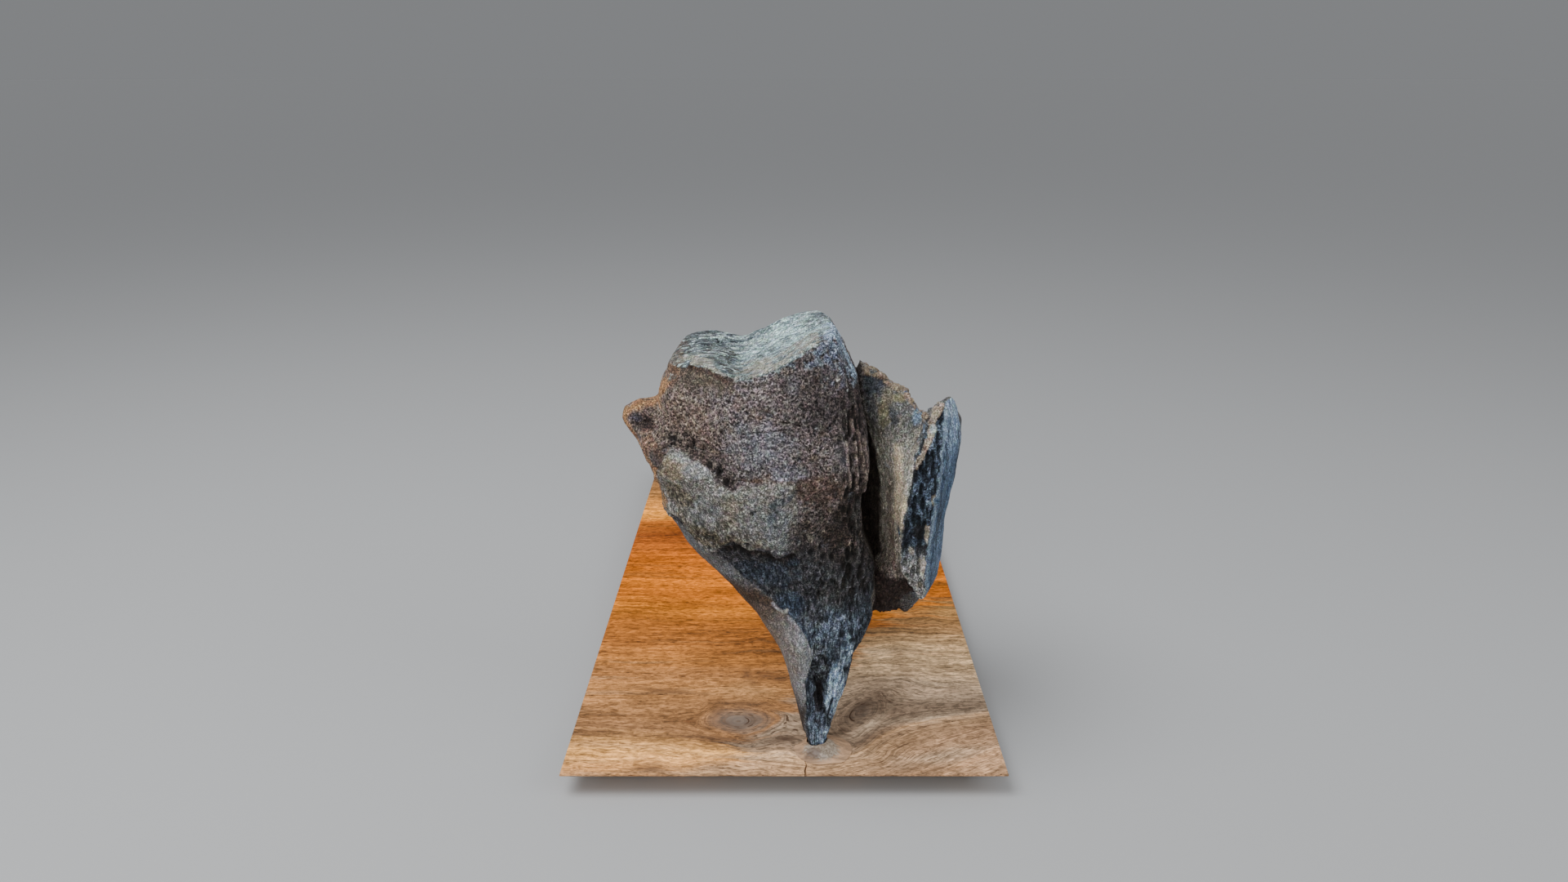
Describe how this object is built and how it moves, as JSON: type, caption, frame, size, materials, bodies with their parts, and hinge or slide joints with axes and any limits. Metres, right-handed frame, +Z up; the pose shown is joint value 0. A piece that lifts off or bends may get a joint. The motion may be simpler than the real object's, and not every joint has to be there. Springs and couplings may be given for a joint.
{
  "type": "fossil mammoth bone fragment",
  "caption": "Still, life-size model of a fossil mammoth bone fragment that stands on its broken tip on a wooden board, with a hollowed joint surface on top and a cleft side wall.",
  "frame": {"origin": "centre of the board's underside, on the surface that it lies on", "axes": "+Z up, +Y along the board away from the end where the bone stands, +X to the right as seen from that end"},
  "size_m": [0.2, 0.4, 0.2063],
  "materials": {
    "fossil_bone": "matt, open-pored",
    "oiled_wood": "satin oil",
    "museum_wax": "dull"
  },
  "bodies": {
    "root": {"fossil_bone": "fossil_bone", "stand_board": "oiled_wood", "stand_wax": "museum_wax"}
  },
  "joints": []
}
